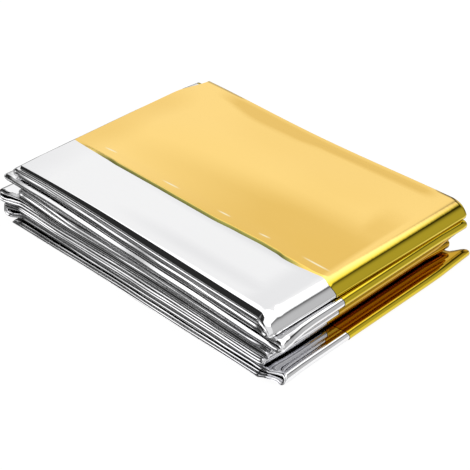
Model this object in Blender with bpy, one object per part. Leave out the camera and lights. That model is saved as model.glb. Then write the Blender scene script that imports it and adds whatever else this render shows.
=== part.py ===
"""Emergency foil blanket, folded to a pack of the size of a hand.

The blanket is one sheet of metallised film, silver on one face and gold on the other. It is first
folded lengthwise into a strip a pack wide, and the strip is then pleated back and forth along X.
One closed solid carries that pleated strip: twelve pleats, six bends at the right end, five at the
left, and both free ends at the left. Its section lies in XZ and is lofted across the pack along Y.

Frame: X runs along the pack towards its right end, -Y is the front with the silver fold edges, and
+Z is up. The origin is the middle of the footprint, on the surface that the pack rests on.
"""

import math
from typing import NamedTuple

import bmesh
import bpy

MM = 0.001

# Driving sizes, in millimetres
PACK_HEIGHT = 24.95  # from the surface to the top of the last pleat
HALF_WIDTH = 45.0  # from the pack's middle to its front or back edge, before each pleat's own offset
PLEAT_THICKNESS = 1.4  # the film layers of the strip, pressed together
GOLD_EDGE = -17.5  # the film's gold flap ends here; in front of it the strip shows silver

# The pack is drawn in along its long sides, most at the top
WAIST_TOP_FRONT = 2.0
WAIST_TOP_BACK = 1.5
WAIST_BOTTOM = 0.7
WAIST_CENTRE_FRONT = -14.0  # where along X the front edge lies furthest in
WAIST_CENTRE_BACK = 8.0
WAIST_HALF_LENGTH_FRONT = 100.0
WAIST_HALF_LENGTH_BACK = 68.0

# Unevenness
EDGE_WAVE = 0.4  # how far a pleat's front and back edges wander in and out; the top pleat's are straight
EDGE_WAVE_LENGTH = 61.0
EDGE_WAVE_STEP = 2.4  # the shift of the wave from one pleat to the next, in radians
TOP_SAG = 0.012  # the share of its height by which the pack sinks, at most: along the back edge
SAG_CENTRE = -6.0
SAG_HALF_LENGTH = 58.0

# Free ends of the strip: place along X, and how much further in they lie at the front and back corner
BOTTOM_END = -64.5
BOTTOM_END_FRONT_IN = 0.3
BOTTOM_END_BACK_IN = 2.0
TOP_END = -59.8
TOP_END_FRONT_IN = 0.4
TOP_END_BACK_IN = 3.2
CORNER_DEPTH = 0.3  # the share of the half width over which a bend's corner turns in or out

# Fineness
RUN_STEPS = 10  # stations along each pleat
ARC_STEPS = 4  # stations along each quarter of a bend
SLICES = (-1.0, -0.94, -0.86, -0.72, GOLD_EDGE / HALF_WIDTH, -0.05, 0.35, 0.7, 0.86, 0.94, 1.0)

SILVER = (0.80, 0.80, 0.82, 1.0)
GOLD = (0.92, 0.70, 0.28, 1.0)


class Pleat(NamedTuple):
    """One pass of the strip: the height of its middle line, and how far its edges stand out."""

    left_height: float
    middle_height: float
    right_height: float
    front_out: float
    back_out: float


class Bend(NamedTuple):
    """One turn of the strip from a pleat to the one above it, its nose measured on the outer face."""

    side: int  # 1 at the right end, -1 at the left
    reach: float  # from the pack's middle to the nose
    nose_height: float
    lower_run: float  # length along X of the quarter below the nose
    upper_run: float  # and of the quarter above it
    front_out: float  # how much further the nose reaches at the front corner
    back_out: float  # and at the back corner


RIGHT, LEFT = 1, -1

# One row for each pleat, from the surface up
PLEATS = (
    Pleat(left_height=0.70, middle_height=0.70, right_height=0.70, front_out=1.5, back_out=2.6),
    Pleat(left_height=3.30, middle_height=3.00, right_height=3.30, front_out=1.3, back_out=2.2),
    Pleat(left_height=6.70, middle_height=5.30, right_height=5.05, front_out=1.7, back_out=0.8),
    Pleat(left_height=8.50, middle_height=7.30, right_height=6.75, front_out=1.4, back_out=1.1),
    Pleat(left_height=11.30, middle_height=9.25, right_height=8.50, front_out=1.7, back_out=0.3),
    Pleat(left_height=13.10, middle_height=10.98, right_height=10.20, front_out=1.9, back_out=0.8),
    Pleat(left_height=14.90, middle_height=12.70, right_height=11.95, front_out=2.1, back_out=0.2),
    Pleat(left_height=16.70, middle_height=14.65, right_height=13.75, front_out=2.3, back_out=0.5),
    Pleat(left_height=18.50, middle_height=16.42, right_height=15.50, front_out=1.9, back_out=0.5),
    Pleat(left_height=20.30, middle_height=18.60, right_height=18.20, front_out=1.2, back_out=0.9),
    Pleat(left_height=22.20, middle_height=20.90, right_height=19.95, front_out=1.3, back_out=0.9),
    Pleat(left_height=24.25, middle_height=24.25, right_height=24.25, front_out=0.0, back_out=1.45),
)

# One row for each bend, from the surface up; bend i joins pleat i to pleat i + 1
BENDS = (
    Bend(RIGHT, reach=67.9, nose_height=2.00, lower_run=1.4, upper_run=1.6, front_out=0.4, back_out=1.6),
    Bend(LEFT, reach=69.8, nose_height=4.60, lower_run=1.5, upper_run=2.2, front_out=0.6, back_out=-1.0),
    Bend(RIGHT, reach=61.2, nose_height=5.90, lower_run=0.85, upper_run=0.85, front_out=-0.8, back_out=0.8),
    Bend(LEFT, reach=70.4, nose_height=9.90, lower_run=1.6, upper_run=1.6, front_out=0.6, back_out=-1.8),
    Bend(RIGHT, reach=60.8, nose_height=9.35, lower_run=0.85, upper_run=0.85, front_out=1.6, back_out=1.4),
    Bend(LEFT, reach=61.2, nose_height=14.00, lower_run=0.9, upper_run=0.9, front_out=-0.6, back_out=0.8),
    Bend(RIGHT, reach=66.0, nose_height=12.85, lower_run=0.9, upper_run=0.9, front_out=-1.2, back_out=-1.2),
    Bend(LEFT, reach=67.4, nose_height=17.60, lower_run=0.9, upper_run=0.9, front_out=0.5, back_out=-1.5),
    Bend(RIGHT, reach=67.8, nose_height=17.00, lower_run=1.7, upper_run=1.4, front_out=1.8, back_out=0.5),
    Bend(LEFT, reach=63.8, nose_height=21.25, lower_run=0.95, upper_run=0.95, front_out=-0.4, back_out=-1.2),
    Bend(RIGHT, reach=65.3, nose_height=20.75, lower_run=0.85, upper_run=5.9, front_out=0.0, back_out=2.1),
)


class Station(NamedTuple):
    """A point of the strip's middle line, with the direction in which the strip runs there."""

    x: float
    z: float
    angle: float
    pleat: float  # the pleat it lies in; a half number in a bend


def smooth(share: float) -> float:
    """A soft step from 0 to 1."""
    share = min(max(share, 0.0), 1.0)
    return share * share * (3.0 - 2.0 * share)


def corner_share(slice_at: float, side: int) -> float:
    """How much a slice across the pack belongs to its front (-1) or back (1) corner, from 0 to 1."""
    return smooth((side * slice_at - (1.0 - CORNER_DEPTH)) / CORNER_DEPTH)


def run_height(index: int, share: float) -> float:
    """A pleat's height at a share of its way from its left end to its right end."""
    pleat = PLEATS[index]
    middle = pleat.middle_height
    if share < 0.5:
        return pleat.left_height + (middle - pleat.left_height) * smooth(2.0 * share)
    return middle + (pleat.right_height - middle) * smooth(2.0 * share - 1.0)


def nose_place(bend: Bend, slice_at: float) -> float:
    """X of the middle line at a bend's nose, for one slice across the pack."""
    out = bend.front_out * corner_share(slice_at, -1) + bend.back_out * corner_share(slice_at, 1)
    return bend.side * (bend.reach + out - PLEAT_THICKNESS / 2)


def free_end(place: float, front_in: float, back_in: float, slice_at: float) -> float:
    """X of a free end of the strip, for one slice across the pack."""
    return place + front_in * corner_share(slice_at, -1) + back_in * corner_share(slice_at, 1)


def pleat_ends(index: int, slice_at: float) -> tuple[float, float]:
    """X of a pleat's left and right end, where its bends or its free end begin."""
    ends = {}
    for bend, run in ((index - 1, "upper_run"), (index, "lower_run")):
        if 0 <= bend < len(BENDS):
            side = BENDS[bend].side
            ends[side] = nose_place(BENDS[bend], slice_at) - side * getattr(BENDS[bend], run)
    if index == 0:
        ends[LEFT] = free_end(BOTTOM_END, BOTTOM_END_FRONT_IN, BOTTOM_END_BACK_IN, slice_at)
    if index == len(PLEATS) - 1:
        ends[LEFT] = free_end(TOP_END, TOP_END_FRONT_IN, TOP_END_BACK_IN, slice_at)
    return ends[LEFT], ends[RIGHT]


def pleat_stations(index: int, slice_at: float) -> list[Station]:
    """The middle line along one pleat, in the direction in which the strip runs."""
    left, right = pleat_ends(index, slice_at)
    towards_right = index % 2 == 0
    stations = []
    for step in range(RUN_STEPS + 1):
        share = step / RUN_STEPS if towards_right else 1.0 - step / RUN_STEPS
        nudge = 0.001
        rise = run_height(index, share + nudge) - run_height(index, share - nudge)
        slope = math.atan2(rise, 2.0 * nudge * (right - left))
        angle = slope if towards_right else slope + math.pi
        stations.append(Station(left + share * (right - left), run_height(index, share), angle, index))
    return stations


def bend_stations(index: int, slice_at: float) -> list[Station]:
    """The middle line round one bend, between the pleats that it joins: two quarters of ellipses."""
    bend = BENDS[index]
    nose = nose_place(bend, slice_at)
    name = "right_height" if bend.side == RIGHT else "left_height"
    low, high = getattr(PLEATS[index], name), getattr(PLEATS[index + 1], name)
    stations = []
    for step in range(-ARC_STEPS + 1, ARC_STEPS):
        turn = math.pi / 2 * step / ARC_STEPS
        run = bend.lower_run if step < 0 else bend.upper_run
        rise = bend.nose_height - low if step < 0 else high - bend.nose_height
        x = nose - bend.side * run * (1.0 - math.cos(turn))
        z = bend.nose_height + rise * math.sin(turn)
        angle = math.atan2(rise * math.cos(turn), -bend.side * run * math.sin(turn))
        stations.append(Station(x, z, angle, index + 0.5))
    return stations


def middle_line(slice_at: float) -> list[Station]:
    """The whole strip in one slice: pleat, bend, pleat and so on from the bottom free end."""
    stations = []
    for index in range(len(PLEATS)):
        stations += pleat_stations(index, slice_at)
        if index < len(BENDS):
            stations += bend_stations(index, slice_at)
    return stations


def edge_out(pleat: float, side: int) -> float:
    """How far the strip's front (-1) or back (1) edge stands out at a pleat, or between two in a bend."""
    low = int(pleat)
    high = min(low + 1, len(PLEATS) - 1)
    name = "front_out" if side < 0 else "back_out"
    outs = [getattr(PLEATS[i], name) for i in (low, high)]
    return outs[0] + (outs[1] - outs[0]) * (pleat - low)


def hump(place: float, centre: float, half_length: float) -> float:
    """A soft hump along the pack: 1 at its centre, 0 past its half length."""
    along = min(max((place - centre) / half_length, -1.0), 1.0)
    return math.cos(math.pi / 2 * along) ** 2


def place_across(station: Station, slice_at: float) -> float:
    """Y of a station: its slice, drawn in by the waist and let out by the pleat's own uneven edge."""
    if slice_at < 0:
        side, waist_top = -1, WAIST_TOP_FRONT
        inward = hump(station.x, WAIST_CENTRE_FRONT, WAIST_HALF_LENGTH_FRONT)
    else:
        side, waist_top = 1, WAIST_TOP_BACK
        inward = hump(station.x, WAIST_CENTRE_BACK, WAIST_HALF_LENGTH_BACK)
    drawn_in = inward * (WAIST_BOTTOM + (waist_top - WAIST_BOTTOM) * station.z / PACK_HEIGHT)
    turn = math.tau * station.x / EDGE_WAVE_LENGTH + EDGE_WAVE_STEP * side * station.pleat
    wave = EDGE_WAVE * (1.0 - smooth(station.pleat - (len(PLEATS) - 2))) * math.sin(turn)
    out = edge_out(station.pleat, side) + wave
    return slice_at * (HALF_WIDTH - drawn_in * abs(slice_at)) + side * out * corner_share(slice_at, side)


def sink(x: float, slice_at: float) -> float:
    """The share of its height that the pack keeps: all of it, but for a soft sag along the back edge."""
    back = smooth((slice_at + 1.0) / 2.0)
    return 1.0 - TOP_SAG * back * hump(x, SAG_CENTRE, SAG_HALF_LENGTH)


def slice_points(slice_at: float, face: int) -> list[tuple[float, float, float]]:
    """One slice of the strip's upper-side face (1) or lower-side face (-1), in metres."""
    points = []
    for station in middle_line(slice_at):
        offset = face * PLEAT_THICKNESS / 2
        x = station.x + offset * math.sin(station.angle)
        z = (station.z - offset * math.cos(station.angle)) * sink(station.x, slice_at)
        points.append((x * MM, place_across(station, slice_at) * MM, z * MM))
    return points


def loft(mesh: bmesh.types.BMesh, face: int) -> list[list[bmesh.types.BMVert]]:
    """Adds one face of the strip as a net of quads, gold behind the flap's edge on the outer face."""
    net = [[mesh.verts.new(point) for point in slice_points(at, face)] for at in SLICES]
    for row, at in enumerate(SLICES[:-1]):
        gold = face > 0 and at >= GOLD_EDGE / HALF_WIDTH
        for column in range(len(net[row]) - 1):
            near, far = net[row], net[row + 1]
            corners = [near[column], near[column + 1], far[column + 1], far[column]]
            quad = mesh.faces.new(corners if face > 0 else corners[::-1])
            quad.material_index = 1 if gold else 0
    return net


def close_edges(mesh: bmesh.types.BMesh, outer: list, inner: list) -> None:
    """Adds the strip's four edges: front, back and the two free ends."""
    last = len(outer[0]) - 1
    for column in range(last):
        front = (inner[0][column], inner[0][column + 1], outer[0][column + 1], outer[0][column])
        back = (outer[-1][column], outer[-1][column + 1], inner[-1][column + 1], inner[-1][column])
        mesh.faces.new(front)
        mesh.faces.new(back)
    for row in range(len(SLICES) - 1):
        start = (inner[row + 1][0], inner[row][0], outer[row][0], outer[row + 1][0])
        end = (inner[row][last], inner[row + 1][last], outer[row + 1][last], outer[row][last])
        mesh.faces.new(start)
        mesh.faces.new(end)


def film_material(name: str, colour: tuple[float, float, float, float]) -> bpy.types.Material:
    """A metal finish for one face of the film."""
    material = bpy.data.materials.new(name)
    material.use_nodes = True
    shader = material.node_tree.nodes["Principled BSDF"]
    shader.inputs["Base Color"].default_value = colour
    shader.inputs["Metallic"].default_value = 1.0
    shader.inputs["Roughness"].default_value = 0.2
    material.diffuse_color = colour
    return material


def build_blanket(collection: bpy.types.Collection) -> bpy.types.Object:
    """The folded blanket as one closed solid."""
    mesh = bmesh.new()
    outer = loft(mesh, 1)
    inner = loft(mesh, -1)
    close_edges(mesh, outer, inner)
    bmesh.ops.recalc_face_normals(mesh, faces=mesh.faces)
    data = bpy.data.meshes.new("foil_blanket")
    mesh.to_mesh(data)
    mesh.free()
    data.shade_smooth()
    data.set_sharp_from_angle(angle=math.radians(40))
    data.materials.append(film_material("silver_film", SILVER))
    data.materials.append(film_material("gold_film", GOLD))
    blanket = bpy.data.objects.new("foil_blanket", data)
    collection.objects.link(blanket)
    return blanket


def main() -> None:
    """Clears the scene and builds the blanket."""
    for old in list(bpy.data.objects):
        bpy.data.objects.remove(old, do_unlink=True)
    collection = bpy.data.collections.new("emergency_foil_blanket")
    bpy.context.scene.collection.children.link(collection)
    build_blanket(collection)


main()
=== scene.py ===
"""Looks of a folded emergency foil blanket: a metallised film, silver on one face, gold on the other.

The film is one thin sheet. It is folded lengthwise into a strip, and the strip is pleated back and
forth along X on a middle line close to that of the solid that it replaces. Lengths in the classes below
are in millimetres and become metres when a mesh is made.
"""

import logging
import math
from dataclasses import dataclass, field
from enum import IntEnum

import bpy
import numpy as np
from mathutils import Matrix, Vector


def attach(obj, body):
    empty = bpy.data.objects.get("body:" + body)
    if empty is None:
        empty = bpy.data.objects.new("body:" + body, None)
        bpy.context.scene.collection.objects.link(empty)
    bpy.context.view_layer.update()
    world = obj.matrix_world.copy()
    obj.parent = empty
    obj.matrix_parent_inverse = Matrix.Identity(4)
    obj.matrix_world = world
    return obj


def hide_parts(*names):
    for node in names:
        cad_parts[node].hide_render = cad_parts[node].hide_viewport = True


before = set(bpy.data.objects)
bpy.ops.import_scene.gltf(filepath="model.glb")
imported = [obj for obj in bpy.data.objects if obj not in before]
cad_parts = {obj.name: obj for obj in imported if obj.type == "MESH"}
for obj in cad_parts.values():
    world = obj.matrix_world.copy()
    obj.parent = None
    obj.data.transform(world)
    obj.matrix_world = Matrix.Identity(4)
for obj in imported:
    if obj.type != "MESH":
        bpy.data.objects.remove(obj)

log = logging.getLogger("foil_blanket")

MM = 0.001
NODE = "foil_blanket"
Grid = np.ndarray
Socket = bpy.types.NodeSocket
Tint = tuple[float, float, float]


class End(IntEnum):
    """An end of the pack, as the sign of X there."""

    RIGHT = 1
    LEFT = -1


class Edge(IntEnum):
    """A long side of the pack, as the sign of Y there."""

    FRONT = -1
    BACK = 1


class Colour(IntEnum):
    """The film's two faces, in the order of the sheet's material slots."""

    SILVER = 0
    GOLD = 1


@dataclass(frozen=True)
class Pleat:
    """One pass of the strip: the height of its middle line, and how far its edges stand out."""

    left_height: float
    middle_height: float
    right_height: float
    front_out: float
    back_out: float


@dataclass(frozen=True)
class Bend:
    """One turn of the strip, its nose measured on the outer face of the solid."""

    end: End
    reach: float
    nose_height: float
    lower_run: float
    upper_run: float
    front_out: float
    back_out: float


PLEATS = (
    Pleat(0.70, 0.70, 0.70, 1.5, 2.6),
    Pleat(3.30, 3.00, 3.30, 1.3, 2.2),
    Pleat(6.70, 5.30, 5.05, 1.7, 0.8),
    Pleat(8.50, 7.30, 6.75, 1.4, 1.1),
    Pleat(11.30, 9.25, 8.50, 1.7, 0.3),
    Pleat(13.10, 10.98, 10.20, 1.9, 0.8),
    Pleat(14.90, 12.70, 11.95, 2.1, 0.2),
    Pleat(16.70, 14.65, 13.75, 2.3, 0.5),
    Pleat(18.50, 16.42, 15.50, 1.9, 0.5),
    Pleat(20.30, 18.60, 18.20, 1.2, 0.9),
    Pleat(22.20, 20.90, 19.95, 1.3, 0.9),
    Pleat(24.25, 24.25, 24.25, 0.0, 1.45),
)

BENDS = (
    Bend(End.RIGHT, 67.9, 2.00, 1.4, 1.6, 0.4, -1.0),
    Bend(End.LEFT, 69.8, 4.60, 1.5, 2.2, 0.6, -1.0),
    Bend(End.RIGHT, 61.2, 5.90, 0.85, 0.85, -0.8, 0.8),
    Bend(End.LEFT, 70.4, 9.90, 1.6, 1.6, 0.6, -1.8),
    Bend(End.RIGHT, 60.8, 9.35, 0.85, 0.85, 1.6, 1.4),
    Bend(End.LEFT, 61.2, 14.00, 0.9, 0.9, -0.6, 0.8),
    Bend(End.RIGHT, 66.0, 12.85, 0.9, 0.9, -1.2, -1.2),
    Bend(End.LEFT, 67.4, 17.60, 0.9, 0.9, 0.5, -1.5),
    Bend(End.RIGHT, 67.8, 17.00, 1.7, 1.4, 1.8, 0.5),
    Bend(End.LEFT, 63.8, 21.25, 0.95, 0.95, -0.4, -1.2),
    Bend(End.RIGHT, 65.3, 20.75, 0.85, 5.9, 0.0, 2.1),
)


def smooth(share: Grid) -> Grid:
    """A soft step from 0 to 1."""
    share = np.clip(share, 0.0, 1.0)
    return share * share * (3.0 - 2.0 * share)


def hump(place: Grid, centre: float, half_length: float) -> Grid:
    """A soft hump: 1 at its centre, 0 past its half length."""
    along = np.clip((place - centre) / half_length, -1.0, 1.0)
    return np.cos(np.pi / 2 * along) ** 2


@dataclass(frozen=True)
class Knots:
    """A value that changes softly from place to place, given at a few of them."""

    places: tuple[float, ...]
    values: tuple[float, ...]

    def at(self, place: Grid) -> Grid:
        """The value at any place."""
        places, values = np.array(self.places), np.array(self.values)
        start = np.clip(np.searchsorted(places, place) - 1, 0, len(places) - 2)
        share = smooth((place - places[start]) / (places[start + 1] - places[start]))
        return values[start] + (values[start + 1] - values[start]) * share


@dataclass(frozen=True)
class Ramp:
    """A soft step: its start, and its length, which is negative where it rises towards lower places."""

    start: float
    length: float

    def rise(self, place: Grid) -> Grid:
        """From 0 before the step to 1 past it."""
        return smooth((place - self.start) / self.length)

    def fall(self, place: Grid) -> Grid:
        """From 1 before the step to 0 past it."""
        return 1.0 - self.rise(place)


@dataclass(frozen=True)
class Mound:
    """A soft hump: its centre and its half length."""

    centre: float
    half_length: float

    def at(self, place: Grid) -> Grid:
        """The hump's share at a place."""
        return hump(place, self.centre, self.half_length)


@dataclass(frozen=True)
class FrontFolds:
    """The three front folds of the strip in one pleat, from the upper one down.

    Each fold has an upper and a lower corner, so an end has six places: how far each corner stands
    out. The top of each fold is bevelled over a share of its height.
    """

    shares: tuple[float, float, float]
    left: tuple[float, ...]
    right: tuple[float, ...]
    bevels: tuple[float, float, float]


FRONT_FOLDS = (
    FrontFolds((0.45, 0.4, 0.15), (-0.75, -0.75, -0.05, -0.05, 0.05, -0.15),
               (-0.75, -0.75, 0.05, 0.05, 0.35, 0.15), (0.45, 0.45, 0.2)),
    FrontFolds((0.5, 0.4, 0.1), (-1.7, -1.7, -1.05, -1.05, -1.1, -1.4),
               (-1.2, -1.2, -0.6, -0.6, -0.7, -0.9), (0.45, 0.45, 0.1)),
    FrontFolds((0.4, 0.45, 0.15), (-1.35, -1.35, -1.0, -1.0, -1.1, -1.3),
               (-1.3, -1.3, -0.7, -0.7, -0.8, -1.0), (0.5, 0.45, 0.1)),
    FrontFolds((0.45, 0.45, 0.1), (-1.7, -1.7, -1.15, -1.15, -1.25, -1.45),
               (-1.5, -1.5, -1.1, -1.1, -1.2, -1.4), (0.4, 0.4, 0.1)),
    FrontFolds((0.9, 0.06, 0.04), (-2.6, -1.7, -1.7, -1.7, -1.8, -2.0),
               (-2.1, -1.3, -1.3, -1.3, -1.4, -1.6), (0.0, 0.0, 0.0)),
    FrontFolds((0.45, 0.45, 0.1), (-0.95, -0.95, -1.2, -1.2, -1.3, -1.6),
               (-1.15, -1.15, -1.4, -1.4, -1.5, -1.8), (0.5, 0.2, 0.1)),
    FrontFolds((0.45, 0.45, 0.1), (-1.35, -1.35, -1.5, -1.5, -1.5, -1.7),
               (-0.7, -0.7, -1.2, -1.2, -1.3, -1.5), (0.5, 0.2, 0.1)),
    FrontFolds((0.9, 0.06, 0.04), (-2.7, -2.2, -2.2, -2.2, -2.2, -2.3),
               (-2.2, -1.6, -1.6, -1.6, -1.7, -1.8), (0.0, 0.0, 0.0)),
    FrontFolds((0.7, 0.2, 0.1), (-0.1, -0.1, -0.2, -0.2, -0.4, -0.6),
               (0.6, 0.6, 0.5, 0.5, 0.2, 0.0), (0.9, 0.1, 0.1)),
    FrontFolds((0.85, 0.1, 0.05), (-2.4, -1.2, -1.2, -1.2, -1.3, -1.4),
               (-1.0, 0.2, 0.2, 0.2, 0.1, 0.0), (0.06, 0.0, 0.0)),
    FrontFolds((0.45, 0.45, 0.1), (-0.9, -0.9, -0.45, -0.45, -0.6, -0.8),
               (0.2, 0.2, 0.85, 0.85, 0.7, 0.5), (0.5, 0.5, 0.1)),
    FrontFolds((0.9, 0.06, 0.04), (-0.6, 0.4, 0.4, 0.4, 0.4, 0.3),
               (0.0, 2.2, 2.2, 2.2, 2.2, 2.1), (0.0, 0.0, 0.0)),
)


@dataclass
class StripPath:
    """The middle line of the pleated strip for any place across the pack, close to the solid's."""

    pack_height: float = 24.95
    half_width: float = 45.0
    solid_thickness: float = 1.4
    settled: Knots = Knots((0.0, 7.0, 8.0, 11.0), (0.24, 0.24, 0.5, 0.5))
    waist_top: tuple[float, float] = (2.0, 1.5)
    waist_bottom: float = 0.7
    waist_centre: tuple[float, float] = (-14.0, 8.0)
    waist_half_length: tuple[float, float] = (100.0, 68.0)
    edge_wave: tuple[float, float] = (0.08, 0.4)
    edge_wave_length: float = 61.0
    edge_wave_step: float = 2.4
    top_sag: float = 0.012
    sag_centre: float = -6.0
    sag_half_length: float = 58.0
    bottom_end: tuple[float, float, float] = (-64.5, 0.3, 2.0)
    top_end: tuple[float, float, float] = (-59.8, 0.4, 3.2)
    corner_depth: float = 0.3
    shoulder_places: tuple[float, ...] = (0.0, 0.31, 0.74, 1.0)
    shoulder_slopes: tuple[float, ...] = (64.0, 47.0, 12.0, 2.0)

    def corner_share(self, across: Grid, edge: Edge) -> Grid:
        """How much a place across the pack belongs to its front or back corner, from 0 to 1."""
        return smooth((edge * across - (1.0 - self.corner_depth)) / self.corner_depth)

    def run_height(self, index: int, share: Grid) -> Grid:
        """A pleat's height at a share of its way from its left end to its right end."""
        pleat = PLEATS[index]
        middle = pleat.middle_height
        settled = self.settled.at(float(index))
        left = pleat.left_height + (middle - pleat.left_height) * smooth(share / settled)
        right = middle + (pleat.right_height - middle) * smooth(2.0 * share - 1.0)
        return np.where(share < 0.5, left, right)

    def nose_place(self, bend: Bend, across: Grid) -> Grid:
        """X of the middle line at a bend's nose. The top bend's runs straight to its back corner."""
        to_back = self.corner_share(across, Edge.BACK)
        if bend is BENDS[-1]:
            to_back = 0.5 * (across + 1.0)
        out = bend.front_out * self.corner_share(across, Edge.FRONT) + bend.back_out * to_back
        return bend.end * (bend.reach + out - self.solid_thickness / 2)

    def free_end(self, end: tuple[float, float, float], across: Grid) -> Grid:
        """X of a free end of the strip."""
        place, front_in, back_in = end
        inward = front_in * self.corner_share(across, Edge.FRONT)
        return place + inward + back_in * self.corner_share(across, Edge.BACK)

    def pleat_ends(self, index: int, across: Grid) -> tuple[Grid, Grid]:
        """X of a pleat's left and right end, where its bends or its free end begin."""
        ends = {}
        for bend_index, run in ((index - 1, "upper_run"), (index, "lower_run")):
            if 0 <= bend_index < len(BENDS):
                bend = BENDS[bend_index]
                ends[bend.end] = self.nose_place(bend, across) - bend.end * getattr(bend, run)
        if index == 0:
            ends[End.LEFT] = self.free_end(self.bottom_end, across)
        if index == len(PLEATS) - 1:
            ends[End.LEFT] = self.free_end(self.top_end, across)
        return ends[End.LEFT], ends[End.RIGHT]

    def run(self, index: int, travel: Grid, across: Grid) -> tuple[Grid, Grid]:
        """The middle line along a pleat.

        Args:
            index: the pleat, from the surface up.
            travel: shares of the way along it, in the direction in which the strip runs.
            across: places across the pack, from -1 at the front to 1 at the back.

        Returns:
            X and height, each as a grid of travel by across.
        """
        left, right = self.pleat_ends(index, across)
        share = travel if index % 2 == 0 else 1.0 - travel
        x = left + share * (right - left)
        return x, self.run_height(index, share) + 0.0 * x

    def bend(self, index: int, turn: Grid, across: Grid) -> tuple[Grid, Grid]:
        """The middle line round a bend: two quarters of ellipses, the last one with a shoulder.

        Args:
            index: the bend, from the surface up.
            turn: angles from -90 degrees at the lower pleat to 90 at the upper one.
            across: places across the pack, from -1 to 1.

        Returns:
            X and height, each as a grid of turn by across.
        """
        bend = BENDS[index]
        nose = self.nose_place(bend, across)
        name = "right_height" if bend.end == End.RIGHT else "left_height"
        low, high = getattr(PLEATS[index], name), getattr(PLEATS[index + 1], name)
        run = np.where(turn < 0.0, bend.lower_run, bend.upper_run)
        rise = np.where(turn < 0.0, bend.nose_height - low, high - bend.nose_height)
        inward, upward = 1.0 - np.cos(turn), np.sin(turn)
        if index == len(BENDS) - 1:
            shoulder_in, shoulder_up = self.shoulder_line(turn)
            inward = np.where(turn < 0.0, inward, shoulder_in)
            upward = np.where(turn < 0.0, upward, shoulder_up)
        x = nose - bend.end * run * inward
        z = bend.nose_height + rise * upward + 0.0 * x
        return x, z

    def shoulder_line(self, turn: Grid) -> tuple[Grid, Grid]:
        """The top bend's upper quarter: a steep face, a rounded crease and a gentle shoulder."""
        places = np.linspace(0.0, 1.0, 201)
        slopes = np.radians(np.interp(places, self.shoulder_places, self.shoulder_slopes))
        share = np.clip(turn / (np.pi / 2), 0.0, 1.0)
        lines = []
        for step in (np.cos(slopes), np.sin(slopes)):
            line = np.concatenate([[0.0], np.cumsum(0.5 * (step[:-1] + step[1:]))])
            lines.append(np.interp(share, places, line / line[-1]))
        return lines[0], lines[1]

    def edge_out(self, pleat: Grid, edge: Edge) -> Grid:
        """How far the strip's front or back edge stands out at a pleat, or between two in a bend."""
        name = "front_out" if edge == Edge.FRONT else "back_out"
        return np.interp(pleat, range(len(PLEATS)), [getattr(p, name) for p in PLEATS])

    def drawn_in(self, x: Grid, z: Grid, across: Grid) -> Grid:
        """How far each long side is drawn in by the waist."""
        front, back = [
            (self.waist_bottom + (top - self.waist_bottom) * z / self.pack_height)
            * hump(x, centre, half_length)
            for top, centre, half_length in zip(
                self.waist_top, self.waist_centre, self.waist_half_length
            )
        ]
        return np.where(across < 0.0, front, back)

    def wave(self, x: Grid, pleat: Grid, side: Grid) -> Grid:
        """How far the long sides wander in and out, pleat by pleat; the top pleat's are straight."""
        turn = math.tau * x / self.edge_wave_length + self.edge_wave_step * side * pleat
        most = np.where(side < 0.0, self.edge_wave[0], self.edge_wave[1])
        return most * (1.0 - smooth(pleat - (len(PLEATS) - 2))) * np.sin(turn)

    def sink(self, x: Grid, across: Grid) -> Grid:
        """The share of its height that the pack keeps."""
        back = smooth((across + 1.0) / 2.0)
        return 1.0 - self.top_sag * back * hump(x, self.sag_centre, self.sag_half_length)


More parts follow.
